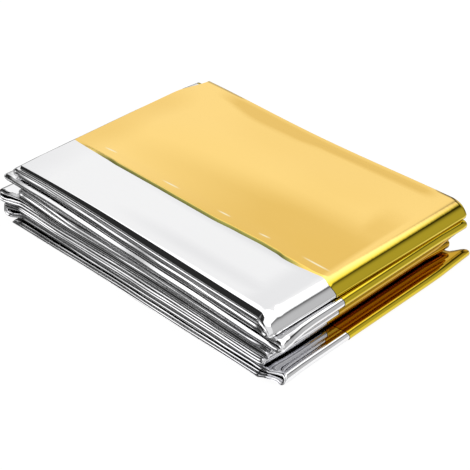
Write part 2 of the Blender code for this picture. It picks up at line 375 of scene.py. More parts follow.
@dataclass
class StripSection:
    """The strip's section: the film's layers, back and forth between the front and back edges.

    A point has its place across the pack, its layer, and, in a fold, how far round it is.
    """

    half_width: float = 45.0
    layers: int = 7
    flap_edge: float = -17.5
    front_turns: tuple[float, ...] = (0.05, 0.25, 0.40, 0.50, 0.60, 0.80, 0.95)
    back_turns: tuple[float, ...] = (0.12, 0.4, 0.6, 0.88)
    cut_back: float = 1.2
    lip_end: float = -0.872
    lip_gap: float = 0.016
    coarse_gap: float = 0.09
    sparse: int = 16
    gold_from: float = 0.2
    silver_layers: float = 1.4

    across: Grid = field(init=False)
    layer: Grid = field(init=False)
    turn: Grid = field(init=False)
    coarse: Grid = field(init=False)
    colour: Grid = field(init=False)

    def __post_init__(self) -> None:
        """Lays the section's points out, from the gold flap's free edge to the last layer's."""
        points = []
        for index in range(self.layers):
            shares = self._shares(index)
            rows = [(share, float(index), -1.0, kept) for share, kept in zip(shares, self._kept(shares))]
            points += rows[::-1] if index % 2 == 1 else rows
            if index < self.layers - 1:
                back = index % 2 == 0
                turns = self.back_turns if back else self.front_turns
                side = 1.0 if back else -1.0
                points += [(side, index + 0.5, turn, True) for turn in turns]
        self.across, self.layer, self.turn, self.coarse = (np.array(column) for column in zip(*points))
        self.colour = self._colours()

    def _shares(self, index: int) -> list[float]:
        """Places across the pack of a layer's points, from front to back, as shares of its half width."""
        front = [-1.0, -0.985, -0.965, -0.94, -0.88, -0.78]
        back = [0.85, 0.95, 1.0]
        flap = self.flap_edge / self.half_width
        if index == 0:
            rim = [0.0, 0.004, 0.008, 0.012, 0.016, 0.020, 0.024, 0.034, 0.048, 0.062]
            rim += [0.074 + 0.005 * step for step in range(12)]
            field_points = [0.145, 0.175, 0.21, 0.27, 0.33]
            rest = [0.0, 0.1, 0.2, 0.3, 0.4, 0.5, 0.6, 0.68, 0.75, 0.8, 0.83, 0.86, 0.89, 0.92, 0.95, 0.975]
            return [flap + step for step in rim + field_points] + rest + [1.0]
        if index == 1:
            lip = [-1.0 + 0.008 * step for step in range(17)]
            strip = [-0.855, -0.83, -0.79, -0.74, -0.68, -0.62, -0.56, -0.5, -0.45, -0.41, flap]
            return lip + strip + [flap + 0.05, flap + 0.15, 0.0, 0.4] + back
        if index == self.layers - 1:
            return front + [-0.4, 0.3, 0.85, 1.0 - self.cut_back / self.half_width]
        return front + [-0.4, 0.3] + back

    def _kept(self, shares: list[float]) -> list[bool]:
        """Which of a layer's points the lower pleats have too: all but the crowded ones."""
        always = (shares[0], shares[-1], self.flap_edge / self.half_width)
        kept, last = [], -2.0
        for share in shares:
            gap = self.lip_gap if share < self.lip_end else self.coarse_gap
            keep = share in always or share - last > gap - 1e-6 or len(shares) < self.sparse
            last = share if keep else last
            kept.append(keep)
        return kept

    def _colours(self) -> Grid:
        """The colour that shows of the film between each point and the next."""
        middle = 0.5 * (self.across[:-1] + self.across[1:])
        layer = 0.5 * (self.layer[:-1] + self.layer[1:])
        gold = (layer < 0.5) | ((middle > self.gold_from) & (layer < self.layers - self.silver_layers))
        gold &= middle > self.flap_edge / self.half_width
        return np.where(gold, int(Colour.GOLD), int(Colour.SILVER))

    def front_folds(self) -> int:
        """How many front folds the strip has."""
        return (self.layers - 1) // 2

    def flat_width(self) -> float:
        """The film's width before it was folded lengthwise, in millimetres."""
        runs = 2.0 * self.half_width * (self.layers - 1) + self.half_width - self.flap_edge
        return runs - self.cut_back


@dataclass(frozen=True)
class Dash:
    """A short raised crease along the flap."""

    x: float
    y: float
    half_length: float
    slant: float = 0.0
    height: float = 0.02
    half_width: float = 0.55

    def share(self, x: Grid, y: Grid) -> Grid:
        """How much a place on the flap belongs to the crease."""
        off = y - self.y - self.slant * (x - self.x)
        return hump(x, self.x, self.half_length) ** 0.5 * hump(off, 0.0, self.half_width)


@dataclass(frozen=True)
class Swell:
    """A broad soft rise or hollow of the top, longer along one direction than across it."""

    x: float
    y: float
    half_length: float
    half_width: float
    turn: float
    height: float

    def rise(self, x: Grid, y: Grid) -> Grid:
        """The swell's height at a place on the top."""
        cos, sin = math.cos(math.radians(self.turn)), math.sin(math.radians(self.turn))
        along = (x - self.x) * cos + (y - self.y) * sin
        aside = (y - self.y) * cos - (x - self.x) * sin
        return self.height * hump(along, 0.0, self.half_length) * hump(aside, 0.0, self.half_width)


@dataclass
class TopRelief:
    """The soft troughs, ridges and rolled edges of the top pleat."""

    lift: float = 0.32
    lift_width: float = 9.0
    curl: float = 0.80
    curl_width: float = 1.25
    curl_power: float = 1.3
    tight_curl: float = 0.25
    loose_from: Ramp = Ramp(-60.0, 24.0)
    loose_to: Ramp = Ramp(45.0, 12.0)
    dip: float = 0.28
    dip_width: float = 10.0
    step: float = 0.10
    step_start: Knots = Knots((-45.0, -23.0, -5.0, 9.0, 21.0, 50.0), (5.4, 8.0, 7.2, 5.7, 5.3, 5.2))
    step_end: float = 1.2
    step_from: Ramp = Ramp(-44.0, 14.0)
    step_to: Ramp = Ramp(50.0, 8.0)
    roll_width: Knots = Knots((-60.0, -20.0, 2.0, 30.0, 60.0), (0.5, 1.0, 2.0, 3.0, 3.0))
    roll_slope: float = 0.13
    groove: float = 0.07
    groove_across: Mound = Mound(1.7, 1.9)
    groove_along: Ramp = Ramp(-30.0, 40.0)
    dashes: tuple[Dash, ...] = (
        Dash(-44.5, -14.35, 3.2, 0.08),
        Dash(-12.7, -15.2, 4.2, 0.045),
        Dash(13.2, -15.2, 3.0, 0.045),
        Dash(31.7, -15.35, 2.4, 0.1),
        Dash(54.2, -15.15, 6.0, 0.03),
    )
    swells: tuple[Swell, ...] = (
        Swell(-34.0, 14.0, 34.0, 17.0, 12.0, 0.30),
        Swell(6.0, 2.0, 36.0, 13.0, -8.0, -0.22),
        Swell(26.0, 24.0, 30.0, 15.0, 6.0, 0.26),
        Swell(46.0, -4.0, 20.0, 14.0, 20.0, 0.24),
        Swell(-22.0, -32.0, 26.0, 9.0, 14.0, 0.12),
        Swell(22.0, -30.0, 24.0, 8.0, -10.0, -0.12),
    )

    def flap(self, x: Grid, y: Grid, from_edge: Grid, from_back: Grid) -> Grid:
        """How far the gold flap rises.

        Args:
            x, y: places on it.
            from_edge: their distance from its free edge.
            from_back: their distance from the pack's back edge.
        """
        loose = self.looseness(x)
        lifted = self.lift * loose * (1.0 - smooth(from_edge / self.lift_width))
        curled = self.curl * np.clip(1.0 - from_edge / self.curl_width, 0.0, 1.0) ** self.curl_power
        curled = curled * (self.tight_curl + (1.0 - self.tight_curl) * loose)
        start = self.step_start.at(x)
        share = np.clip((start - from_back) / (start - self.step_end), 0.0, 1.0)
        along = self.step_from.rise(x) * self.step_to.fall(x)
        stepped = self.step * (1.0 - (1.0 - share) ** 2) * smooth(3.0 * share) * along
        ridges = sum(dash.height * dash.share(x, y) for dash in self.dashes)
        return lifted - curled - stepped + ridges

    def strip(self, x: Grid, y: Grid, from_edge: Grid, from_front: Grid) -> Grid:
        """How far the silver strip in front of the flap rises.

        Args:
            x, y: places on it.
            from_edge: their distance from the flap's free edge.
            from_front: their distance from the pack's front edge.
        """
        width = self.roll_width.at(x)
        rolled = self.roll_slope * width * np.clip(1.0 - from_front / width, 0.0, 1.0) ** 2
        grooved = self.groove * self.groove_across.at(from_front - width) * self.groove_along.rise(x)
        ridges = sum(dash.height * dash.share(x, y) for dash in self.dashes)
        dipped = self.dip * hump(from_edge, 0.0, self.dip_width) * self.looseness(x)
        return ridges - dipped - rolled - grooved

    def looseness(self, x: Grid) -> Grid:
        """How freely the flap's edge lies: 1 along most of it, 0 where the top bend draws it flat."""
        return self.loose_from.rise(x) * self.loose_to.fall(x)

    def swell(self, x: Grid, y: Grid) -> Grid:
        """How far the whole top rises or sinks."""
        return sum(swell.rise(x, y) for swell in self.swells)


@dataclass(frozen=True)
class Crumple:
    """A patch of sharp small creases, where the pleats' corners are crushed."""

    middle: tuple[float, float, float]
    reach: tuple[float, float, float]
    amount: float
    wavelength: float
    seed: int
    waves: int = 4
    spread: tuple[float, float] = (0.8, 1.5)
    crest: float = 0.6

    def shift(self, places: Grid) -> Grid:
        """How far each place is pushed, as a grid of the same form."""
        random = np.random.default_rng(self.seed)
        off = (places - np.array(self.middle)) / np.array(self.reach)
        weight = 1.0 - smooth(np.linalg.norm(off, axis=-1))
        total = np.zeros_like(places)
        for _ in range(self.waves):
            along, push = random.normal(size=3), random.normal(size=3)
            along *= math.tau / (self.wavelength * np.linalg.norm(along) * random.uniform(*self.spread))
            push /= np.linalg.norm(push)
            wave = np.abs(np.sin(places @ along + random.uniform(0.0, math.tau))) - self.crest
            total += wave[..., None] * push
        return self.amount * weight[..., None] * total


CRUMPLES = (
    Crumple((62.0, -44.0, 10.0), (13.0, 8.0, 9.0), 0.34, 9.0, 5),
    Crumple((64.0, -43.5, 17.5), (6.0, 5.0, 5.0), 0.22, 6.0, 8),
    Crumple((66.0, -44.5, 2.6), (7.0, 6.0, 3.2), 0.30, 7.0, 3),
    Crumple((-67.0, -42.0, 8.5), (10.0, 9.0, 7.0), 0.34, 9.0, 11),
    Crumple((-64.0, -43.0, 20.0), (6.0, 6.0, 5.0), 0.15, 8.0, 4),
)


@dataclass(frozen=True)
class Feather:
    """Short ripples side by side round a bend, where its corner is drawn together."""

    y_front: float
    y_back: float
    x_from: float
    z_low: float
    z_high: float
    period: float
    amount: float
    front_rim: float = 0.8
    back_rim: float = 1.2
    height_rim: float = 0.8
    x_rim: float = 1.5

    def rise(self, x: Grid, y: Grid, z: Grid) -> Grid:
        """How far the ripples stand out of the film."""
        ends = Ramp(self.y_front, self.front_rim).rise(y) * Ramp(self.y_back, self.back_rim).fall(y)
        tall = Ramp(self.z_low, self.height_rim).rise(z) * Ramp(self.z_high, self.height_rim).fall(z)
        near = Ramp(self.x_from, self.x_rim).rise(x)
        return self.amount * ends * tall * near * np.sin(math.tau * y / self.period)


FEATHERS = (
    Feather(-45.6, -40.2, 61.0, 18.2, 21.6, 1.5, 0.03),
    Feather(-45.5, -38.6, 65.0, 14.5, 17.8, 1.4, 0.05),
)

FLAP_SHIFT = Knots(
    (-60.0, -56.0, -49.0, -42.0, -36.0, -17.0, -5.0, 12.0, 23.0)
    + (34.0, 40.0, 45.0, 50.0, 55.0, 60.0, 63.0, 67.0),
    (-1.3, -1.56, -1.76, -1.96, -2.3, -2.4, -2.6, -2.78, -2.26)
    + (-1.91, -2.06, -2.6, -2.5, -2.07, -1.5, -2.0, -0.6),
)
LOWER_FLAP_SHIFT = Knots(
    (0.0, 0.5, 1.0, 2.5, 6.5, 8.5, 10.0, 11.0),
    (4.6, 4.4, 3.6, 0.7, 0.6, 1.2, -0.4, 0.0),
)


@dataclass
class FilmTones:
    """Where each tint of the film shows, as shares from 0 to 1 at the film's points; most paint shade or
    highlights.
    """

    path: StripPath
    section: StripSection
    relief: TopRelief
    top_height: Ramp = Ramp(23.0, 0.9)
    flap_height: Ramp = Ramp(23.0, 0.8)
    past_crest: Ramp = Ramp(61.0, 2.0)
    before_crest: Ramp = Ramp(58.6, 2.0)
    band_along: Ramp = Ramp(-62.0, 90.0)
    band_line: tuple[float, float] = (3.0, 0.12)
    band_back: float = 16.0
    band_front: Ramp = Ramp(-23.0, 3.0)
    front_depth: float = 0.7
    front_along: Ramp = Ramp(-30.0, 50.0)
    front_across: Mound = Mound(-37.0, 5.0)
    left_depth: float = 0.55
    left_along: Mound = Mound(-58.0, 16.0)
    left_back: Ramp = Ramp(22.0, 24.0)
    right_depth: float = 0.8
    right_along: Ramp = Ramp(46.0, 8.0)
    right_back: Ramp = Ramp(14.0, 16.0)
    back_from: Ramp = Ramp(-50.0, 16.0)
    back_to: Ramp = Ramp(50.0, 9.0)
    back_rim: float = 2.4
    back_fade: tuple[float, float] = (0.8, 0.45)
    recess_from: Ramp = Ramp(40.0, 10.0)
    recess_to: Ramp = Ramp(66.0, 1.2)
    recess_below: Ramp = Ramp(17.4, -1.4)
    lip_width: tuple[float, float] = (0.55, 0.5)

    def fold(self, points: Grid) -> Grid:
        """Share of painted shade on the bends: 0 on the top, 1 on the bends and below, painted darker gold.
        """
        x, z = points[..., 0], points[..., 2]
        past = x - BENDS[-1].back_out * (0.5 + points[..., 1] / (2.0 * self.path.half_width))
        return 1.0 - self.top_height.rise(z) * self.past_crest.fall(past)

    def shade(self, points: Grid) -> Grid:
        """Painted shade on the top at each point: soft darker bands along its edges and by the top bend."""
        x, y = points[..., 0], points[..., 1]
        offset, slant = self.band_line
        band = self.band_along.rise(x) * (1.0 - smooth((y + offset - slant * x) / self.band_back))
        front = self.front_depth * self.front_along.rise(x) * self.front_across.at(y)
        band = band * self.band_front.rise(y) + front
        left = self.left_depth * self.left_along.at(x) * self.left_back.fall(y)
        right = self.right_depth * self.right_along.rise(x) * self.right_back.fall(y)
        centre, half_length = self.path.waist_centre[1], self.path.waist_half_length[1]
        back_line = self.path.half_width + PLEATS[-1].back_out
        from_back = back_line - self.path.waist_top[1] * hump(x, centre, half_length) - y
        start = self.relief.step_start.at(x)
        fade_from, fade_length = self.back_fade
        faded = smooth((from_back - fade_from * start) / (fade_length * start))
        back = smooth(from_back / self.back_rim) * (1.0 - faded)
        along = self.back_from.rise(x) * self.back_to.fall(x)
        return np.clip(np.maximum(band, right) * self.before_crest.fall(x) + left + along * back, 0.0, 1.0)

    def recess(self, points: Grid) -> Grid:
        """How much painted shade a point takes in the recess under the top bend: a browner, darker gold."""
        x, z = points[..., 0], points[..., 2]
        return self.recess_from.rise(x) * self.recess_to.fall(x) * self.recess_below.rise(z)

    def crease(self, points: Grid) -> Grid:
        """How much painted highlight a point takes on the flap's short raised creases."""
        x, y = points[..., 0], points[..., 1]
        dashes = sum(dash.share(x, y) for dash in self.relief.dashes)
        return self.flap_height.rise(points[..., 2]) * dashes

    def lip(self, points: Grid) -> Grid:
        """Share of painted shade on the flap's rolled free edge, as stations by section points."""
        section, width = self.section, self.relief.curl_width
        off = (section.across - section.flap_edge / section.half_width) * section.half_width
        start, length = self.lip_width
        near = 1.0 - smooth((off - start * width) / (length * width))
        on_flap = np.where(section.layer < 0.5, near, 0.0)
        loose = self.relief.looseness(points[..., 0])
        return on_flap[None, :] * self.flap_height.rise(points[..., 2]) * loose

    def shares(self, points: Grid, used: Grid) -> dict[str, Grid]:
        """All the shares by the names under which the finishes read them.

        Args:
            points: all of the film's points, as stations by section points by 3.
            used: the numbers of those that the mesh keeps.
        """
        kept = points.reshape(-1, 3)[used]
        return {
            # the shares below paint shade on the bends, over the top, in the recess and on the flap's lip,
            # and highlights on its creases
            "bend_shade": self.fold(kept),
            "painted_shade": self.shade(kept),
            "recess_shade": self.recess(kept),
            "crease_highlight": self.crease(kept),
            "shaded_lip": self.lip(points).reshape(-1)[used],
        }


@dataclass
class FilmSheet:
    """The whole film as one mesh: the strip's section carried along the strip's middle line."""

    path: StripPath = field(default_factory=StripPath)
    section: StripSection = field(default_factory=StripSection)
    relief: TopRelief = field(default_factory=TopRelief)
    bend_thickness: float = 1.36
    run_thickness: Knots = Knots((0.0, 1.0, 8.0, 9.0, 11.0), (1.36, 1.66, 1.66, 1.85, 1.85))
    bevel_slope: float = 1.5
    fold_tuck: float = 0.5
    tuck_from: float = 0.6
    tuck_length: float = 0.4
    fold_depth: float = 0.06
    droop: Knots = Knots((-50.0, -10.0, 30.0), (0.2, 0.6, 0.9))
    droop_depth: float = 0.14
    back_depth: float = 0.30
    crevice: float = 0.03
    top_steps: int = 110
    run_steps: int = 22
    end_steps: int = 11
    end_share: float = 0.10
    arc_steps: int = 12
    last_arc_steps: int = 46
    wander: float = 0.05
    own_wander: float = 0.025
    wander_lengths: tuple[float, ...] = (23.0, 37.0, 61.0)
    seed: int = 12
    loose_half_length: float = 66.0
    left_to_right: Ramp = Ramp(-57.0, 72.0)
    upper_flap: Ramp = Ramp(10.0, 0.5)
    flap_reach: float = 0.42
    at_left_tip: Ramp = Ramp(-60.0, -8.0)
    lowest_pleats: Ramp = Ramp(1.3, 0.5)
    flare: float = 1.2
    flare_x: Ramp = Ramp(57.0, 6.0)
    flare_z: Ramp = Ramp(16.0, 4.0)
    left_flare: float = 2.6
    left_flare_z: Mound = Mound(9.5, 4.5)
    left_slump: float = 2.2
    slump_y: Ramp = Ramp(-36.0, -8.0)
    slump_from: Ramp = Ramp(0.0, 2.5)
    slump_to: Ramp = Ramp(4.5, 4.0)
    tail: tuple[float, float] = (5.9, 2.1)
    tail_out: Ramp = Ramp(61.5, 5.0)
    tail_in: Ramp = Ramp(42.0, 12.0)
    tip_trim: float = 2.2
    trim_x: Ramp = Ramp(62.0, 4.0)
    dip: float = 0.4
    dip_x: Mound = Mound(60.0, 6.0)
    second_pleat: Ramp = Ramp(0.0, 0.4)
    notch: float = 1.7
    notch_x: Mound = Mound(62.5, 4.5)
    notch_y: Ramp = Ramp(-41.5, -3.5)
    notch_height: float = 5.0
    top_from: Ramp = Ramp(10.6, 0.3)
    feather_depth: Ramp = Ramp(0.0, 0.5)
    corner_squareness: float = 0.8
    lowest_place: float = 0.01

    def travel(self, index: int) -> Grid:
        """Shares of the way along a pleat at which the film has stations, closest at its ends."""
        if index == len(PLEATS) - 1:
            return np.linspace(0.0, 1.0, self.top_steps + 1)
        near = np.linspace(0.0, self.end_share, self.end_steps + 1)
        middle = np.linspace(self.end_share, 1.0 - self.end_share, self.run_steps + 1)
        return np.concatenate([near, middle[1:-1], 1.0 - near[::-1]])

    def turns(self, index: int) -> Grid:
        """The angles round a bend at which the film has stations."""
        steps = self.last_arc_steps if index == len(BENDS) - 1 else self.arc_steps
        return np.linspace(-np.pi / 2, np.pi / 2, steps + 1)[1:-1]

    def middle_line(self) -> tuple[Grid, Grid, Grid]:
        """The strip's middle line from end to end.

        Returns:
            X and height as stations by section points, and each station's pleat, which is a number
            between two pleats in a bend.
        """
        across = self.section.across[None, :]
        xs, zs, pleats = [], [], []
        for index in range(len(PLEATS)):
            travel = self.travel(index)
            x, z = self.path.run(index, travel[:, None], across)
            xs.append(x)
            zs.append(z)
            pleats.append(np.full(len(travel), float(index)))
            if index < len(BENDS):
                turn = self.turns(index)
                x, z = self.path.bend(index, turn[:, None], across)
                xs.append(x)
                zs.append(z)
                pleats.append(index + 0.5 + turn / np.pi)
        return np.concatenate(xs), np.concatenate(zs), np.concatenate(pleats)

    def thickness(self, x: Grid, pleat: Grid) -> Grid:
        """The strip's thickness: loose in the middle of a pleat, pressed at the bends."""
        loose = np.clip(1.0 - (x / self.loose_half_length) ** 2, 0.0, 1.0) ** 0.5
        return self.bend_thickness + (self.run_thickness.at(pleat) - self.bend_thickness) * loose

    def fold_rows(self, x: Grid, pleat: Grid) -> tuple[Grid, Grid, Grid]:
        """The front folds' sizes at each station.

        Args:
            x: each station's place along the pack.
            pleat: each station's pleat.

        Returns:
            The folds' shares of the thickness and the bevelled shares of their heights, both as
            stations by folds, and how far their corners stand out, as stations by corners. All are in
            the order of the film's layers, from side A of the strip.
        """
        rightness = self.left_to_right.rise(x)[:, None]
        shares, bevels, outs = [], [], []
        for index, row in enumerate(FRONT_FOLDS):
            left, right = np.array(row.left), np.array(row.right)
            order = -1 if index % 2 == 0 else 1
            shares.append((np.array(row.shares) + 0.0 * rightness)[:, ::order])
            bevels.append((np.array(row.bevels) + 0.0 * rightness)[:, ::order])
            outs.append((left + (right - left) * rightness)[:, ::order])
        low = np.clip(np.floor(pleat).astype(int), 0, len(PLEATS) - 1)
        high = np.minimum(low + 1, len(PLEATS) - 1)
        mix = (pleat - low)[:, None]
        stations = np.arange(len(x))
        share, bevel, out = [
            (1.0 - mix) * rows[low, stations] + mix * rows[high, stations]
            for rows in (np.array(shares), np.array(bevels), np.array(outs))
        ]
        return share, bevel, out + self.fold_wander(x, pleat)

    def fold_wander(self, x: Grid, pleat: Grid) -> Grid:
        """How the front folds' corners wander in and out along the pack, mostly together in a fold."""
        random = np.random.default_rng(self.seed)
        folds = self.section.front_folds()
        low = np.floor(pleat).astype(int)
        mix = (pleat - low)[:, None]
        total = np.zeros((len(x), 2 * folds))
        for length in self.wander_lengths:
            for amount, count in ((self.wander, folds), (self.own_wander, 2 * folds)):
                phase = random.uniform(0.0, math.tau, (len(PLEATS) + 1, count))
                waves = [np.sin(math.tau * x[:, None] / length + phase[low + step]) for step in (0, 1)]
                mixed = (1.0 - mix) * waves[0] + mix * waves[1]
                total += amount * np.repeat(mixed, 2 * folds // count, axis=1)
        return total * (1.0 - smooth(pleat - (len(PLEATS) - 2)))[:, None]

    def levels(self, share: Grid) -> Grid:
        """Where each point lies in the strip's thickness, from 0 on side A to 1 on side B.

        Args:
            share: the front folds' shares of the thickness, as stations by folds.

        Returns:
            A grid of stations by section points.
        """
        count = self.section.layers
        ends = np.cumsum(share, axis=1)
        starts = ends - share
        front = [np.zeros(len(share))]
        for fold in range(self.section.front_folds()):
            front += [starts[:, fold] + self.crevice / 2, ends[:, fold] - self.crevice / 2]
        front = np.stack(front, axis=1)
        pairs = np.repeat(np.arange((count + 1) // 2) / ((count - 1) / 2), 2)[1 : count + 1]
        back = pairs + self.crevice * np.where(np.arange(count) % 2 == 0, 0.5, -0.5)
        section = self.section
        low = np.floor(section.layer).astype(int)
        high = np.minimum(low + 1, count - 1)
        depth = (section.across[None, :] + 1.0) / 2.0
        turn = np.where(section.turn < 0.0, 0.0, section.turn)[None, :]
        lower = front[:, low] + (back[low][None, :] - front[:, low]) * depth
        upper = front[:, high] + (back[high][None, :] - front[:, high]) * depth
        return lower + (upper - lower) * turn

    def front_reach(self, out: Grid, height: Grid, bevel: Grid, pleat: Grid) -> Grid:
        """How far each point stands out at the front, by its fold.

        Args:
            out: how far the front folds' corners stand out, as stations by corners.
            height: the folds' heights, as stations by folds.
            bevel: the shares of them that are bevelled.
            pleat: each station's pleat, which says which side of the strip is up.

        Returns:
            A grid of stations by section points.
        """
        section = self.section
        inner = 1.0 - smooth((section.across + 1.0) / self.fold_depth)
        layer = np.floor(section.layer).astype(int)
        corner = np.clip(layer - 1, 0, out.shape[1] - 1)
        is_fold = (section.turn >= 0.0) & (section.across < 0.0)
        turn = np.where(is_fold, section.turn, np.where(layer % 2 == 1, 0.0, 1.0))[None, :]
        following = np.minimum(corner + 1, out.shape[1] - 1)
        along = np.where(is_fold, turn, 0.0)
        blend = out[:, corner] + (out[:, following] - out[:, corner]) * along
        side_a_up = 0.5 - 0.5 * np.cos(np.pi * pleat)[:, None]
        height, bevel = height[:, corner // 2], bevel[:, corner // 2]
        inset = side_a_up * self.fold_inset(turn, height, bevel)
        inset = inset + (1.0 - side_a_up) * self.fold_inset(1.0 - turn, height, bevel)
        return (blend - inset) * inner[None, :]

    def fold_inset(self, down: Grid, height: Grid, bevel: Grid) -> Grid:
        """How far a fold lies in at a share of its way down: at its bevel, and tucked in below."""
        above = self.bevel_slope * height * np.maximum(bevel - down, 0.0)
        tucked = np.clip((down - self.tuck_from) / self.tuck_length, 0.0, 1.0) ** 2
        return above + self.fold_tuck * height * tucked

    def back_reach(self) -> Grid:
        """How far each point stands out at the back, by its fold."""
        section = self.section
        is_fold = (section.turn >= 0.0) & (section.across > 0.0)
        return np.where(is_fold, self.back_depth * np.sin(np.pi * np.clip(section.turn, 0, 1)), 0.0)

    def flap_warp(self, x: Grid, pleat: Grid) -> Grid:
        """How far the flap's free edge, and what lies near it, is moved back or forth."""
        upper = self.upper_flap.rise(pleat)[:, None]
        shift = upper * FLAP_SHIFT.at(x) + (1.0 - upper) * LOWER_FLAP_SHIFT.at(pleat)[:, None]
        edge = self.section.flap_edge / self.section.half_width
        return shift * hump(self.section.across, edge, self.flap_reach)[None, :]

    def places_across(self, x: Grid, z: Grid, pleat: Grid, reach: Grid) -> Grid:
        """Y of every point: its place across the pack, the waist and each pleat's own uneven edges."""
        section, path = self.section, self.path
        across = section.across[None, :]
        side = np.where(across < 0.0, -1.0, 1.0)
        front_out, back_out = path.edge_out(pleat, Edge.FRONT), path.edge_out(pleat, Edge.BACK)
        edge = np.where(across < 0.0, front_out[:, None], back_out[:, None])
        edge = edge + path.wave(x, pleat[:, None], side)
        flare = self.flare * self.flare_x.rise(x) * self.flare_z.rise(z)
        flare = flare + self.left_flare * self.at_left_tip.rise(x) * self.left_flare_z.at(z)
        low = self.lowest_pleats.fall(pleat[:, None])
        trim = low * self.tip_trim * self.trim_x.rise(x)
        tail = self.tail[0] * self.tail_out.rise(x) - self.tail[1] * self.tail_in.rise(x)
        edge = edge + np.where(across < 0.0, flare - trim, low * tail)
        at_edge = path.corner_share(across, Edge.FRONT) + path.corner_share(across, Edge.BACK)
        width = path.half_width - path.drawn_in(x, z, across) * np.abs(across)
        y = across * width + side * edge * at_edge + self.flap_warp(x, pleat)
        return y - reach + self.back_reach()[None, :]

    def outward(self, x: Grid, y: Grid, z: Grid, pleat: Grid, level: Grid) -> Grid:
        """How far each point is raised off the strip's own form, by the top's relief and the feathers.

        Args:
            x, y, z: the points' places, as stations by section points.
            pleat: each station's pleat.
            level: where each point lies in the strip's thickness.
        """
        section = self.section
        flap_column = 0
        back_column = int(np.argmax(section.across))
        front_column = int(np.argmin(np.where(section.layer == 1.0, section.across, 2.0)))
        from_edge = y - y[:, flap_column : flap_column + 1]
        from_back = y[:, back_column : back_column + 1] - y
        from_front = y - y[:, front_column : front_column + 1]
        flap = self.relief.flap(x, y, from_edge, from_back)
        strip = self.relief.strip(x, y, from_edge, from_front)
        on_flap = (section.layer < 0.5)[None, :]
        rise = np.where(on_flap, flap, strip * (1.0 - level))
        rise = np.where((section.layer == 0.5)[None, :], 0.0, rise)
        on_top = self.top_from.rise(pleat)[:, None]
        feathers = sum(feather.rise(x, y, z) for feather in FEATHERS)
        swell = self.relief.swell(x, y)
        return on_top * (rise + swell * (1.0 - level)) + feathers * self.feather_depth.fall(level)

    def build_grid(self) -> Grid:
        """All points of the film in millimetres, as stations by section points by 3."""
        section, path = self.section, self.path
        x, z, pleat = self.middle_line()
        along_x, along_z = np.gradient(x, axis=0), np.gradient(z, axis=0)
        length = np.hypot(along_x, along_z)
        normal_x, normal_z = along_z / length, -along_x / length
        station_x = x[:, x.shape[1] // 2]
        thick = self.thickness(station_x, pleat)[:, None]
        share, bevel, out = self.fold_rows(station_x, pleat)
        level = self.levels(share)
        py = self.places_across(x, z, pleat, self.front_reach(out, share * thick, bevel, pleat))
        offset = thick * (0.5 - level)
        offset = offset * self.mitre(pleat, normal_x, normal_z, offset)
        offset = offset + self.outward(x, py, z, pleat, level)
        at_front = 1.0 - smooth((section.across[None, :] + 1.0) / self.droop_depth)
        on_last = smooth(pleat - (len(PLEATS) - 2))[:, None]
        offset = offset - self.droop.at(x) * at_front * level * on_last
        px = x + offset * normal_x
        pz = (z + offset * normal_z) * path.sink(x, section.across[None, :])
        lifted = self.notch * self.notch_x.at(px) * self.notch_y.rise(py)
        pz = pz + lifted * np.clip(1.0 - pz / self.notch_height, 0.0, 1.0)
        slump = self.left_slump * self.at_left_tip.rise(px) * self.slump_y.rise(py)
        pz = pz - slump * self.slump_from.rise(pz) * self.slump_to.fall(pz)
        second = self.second_pleat.fall(np.abs(pleat[:, None] - 1.0))
        pz = pz - self.dip * second * self.dip_x.at(px)
        points = np.stack([px, py, pz], axis=-1)
        points = points + sum(crumple.shift(points) for crumple in CRUMPLES)
        points[..., 2] = np.maximum(points[..., 2], self.lowest_place)
        return points

    def mitre(self, pleat: Grid, normal_x: Grid, normal_z: Grid, offset: Grid) -> Grid:
        """How much further out the outer layers lie round the sharp lower corner of the top bend."""
        last = len(BENDS) - 1
        in_corner = ((pleat > last) & (pleat < last + 0.5))[:, None] & (offset > 0.0)
        square = 1.0 / np.maximum(np.abs(normal_x), np.abs(normal_z))
        return np.where(in_corner, 1.0 + self.corner_squareness * (square - 1.0), 1.0)

    def fine_row(self) -> int:
        """The first station of the last bend, from which the film has all of the section's points."""
        stations = sum(len(self.travel(index)) for index in range(len(PLEATS) - 1))
        return stations + sum(len(self.turns(index)) for index in range(len(BENDS) - 1))

    def faces(self, rows: int) -> tuple[list[list[int]], list[int]]:
        """The film's faces: coarse across in the lower pleats, fine in the last bend and the top.

        Args:
            rows: how many stations there are.

        Returns:
            Each face's corners, as rows times columns plus a column, and its colour.
        """
        columns = len(self.section.across)
        coarse = np.flatnonzero(self.section.coarse)
        every = np.arange(columns)
        first_fine = self.fine_row()
        faces, colours = [], []
        for row in range(rows - 1):
            kept = coarse if row < first_fine else every
            joint = row == first_fine - 1
            near, far = row * columns, (row + 1) * columns
            for start, stop in zip(kept[:-1], kept[1:]):
                side = [far + column for column in range(stop, start - 1, -1)] if joint else None
                corners_far = side or [far + stop, far + start]
                faces.append([near + start, *corners_far[::-1], near + stop])
                colours.append(int(self.section.colour[start]))
        return faces, colours

    def build(self) -> bpy.types.Object:
        """Makes the film's mesh object."""
        points = self.build_grid()
        faces, colours = self.faces(len(points))
        used = np.unique(np.concatenate([np.array(face) for face in faces]))
        number = np.full(points.shape[0] * points.shape[1], -1)
        number[used] = np.arange(len(used))
        kept = points.reshape(-1, 3)[used]
        mesh = bpy.data.meshes.new("folded_film")
        mesh.from_pydata((kept * MM).tolist(), [], [number[face].tolist() for face in faces])
        mesh.polygons.foreach_set("material_index", np.array(colours, dtype=np.int32))
        tones = FilmTones(self.path, self.section, self.relief)
        for name, values in tones.shares(points, used).items():
            attribute = mesh.attributes.new(name, "FLOAT", "POINT")
            attribute.data.foreach_set("value", values.astype(np.float32))
        mesh.shade_smooth()
        mesh.update()
        film = bpy.data.objects.new("folded_film", mesh)
        bpy.context.scene.collection.objects.link(film)
        return film

